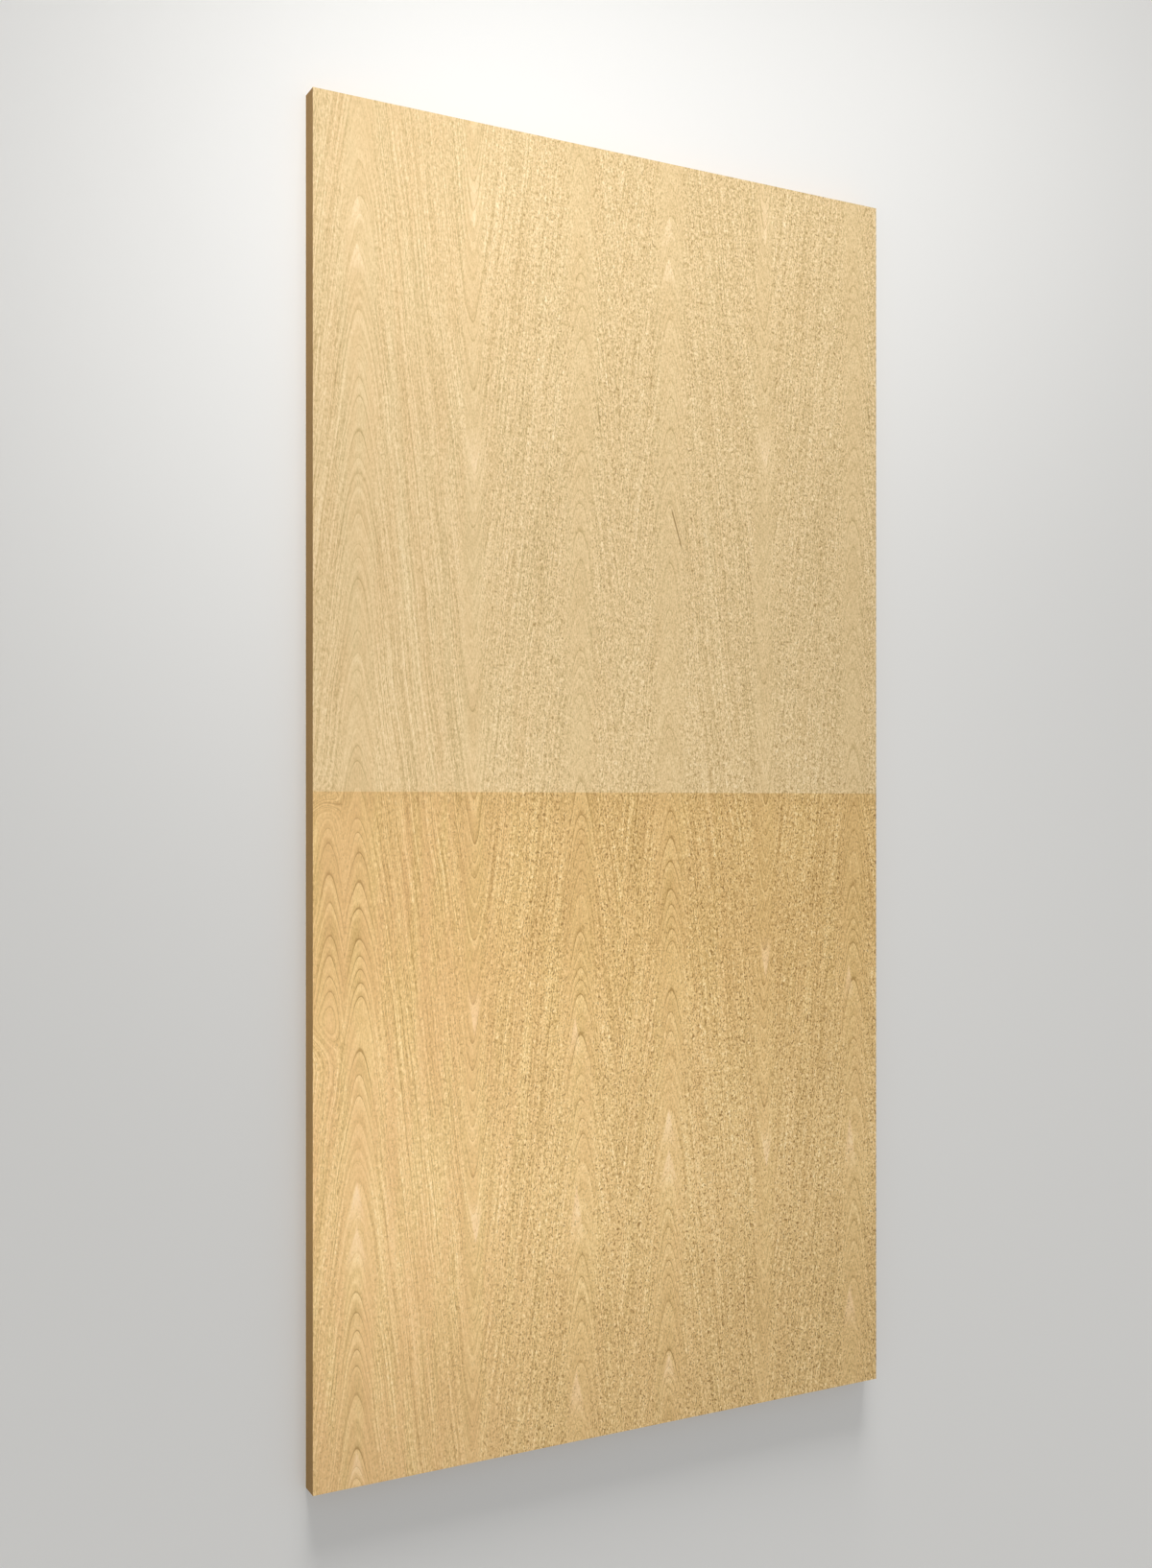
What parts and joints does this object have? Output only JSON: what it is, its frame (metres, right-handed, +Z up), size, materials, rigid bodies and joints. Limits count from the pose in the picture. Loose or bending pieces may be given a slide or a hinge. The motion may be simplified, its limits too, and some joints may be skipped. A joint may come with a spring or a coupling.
{
  "type": "wood veneer sheet",
  "caption": "Flat rectangular sheet of crown-cut oak veneer on a fibreboard core, half of its face bare and half with a clear finish.",
  "frame": {"origin": "middle of the underside, on the floor that the sheet lies on", "axes": "+X across the grain to the right, +Y along the grain to the bare end, +Z up out of the face"},
  "size_m": [1.22, 2.44, 0.0392],
  "materials": {
    "core_fibreboard": "matte",
    "face_veneer": "satin",
    "back_veneer": "matte"
  },
  "bodies": {
    "root": {"core_board": "core_fibreboard", "face_leaf_left": "face_veneer", "face_leaf_right": "face_veneer", "back_leaf_left": "back_veneer", "back_leaf_right": "back_veneer"}
  },
  "joints": []
}
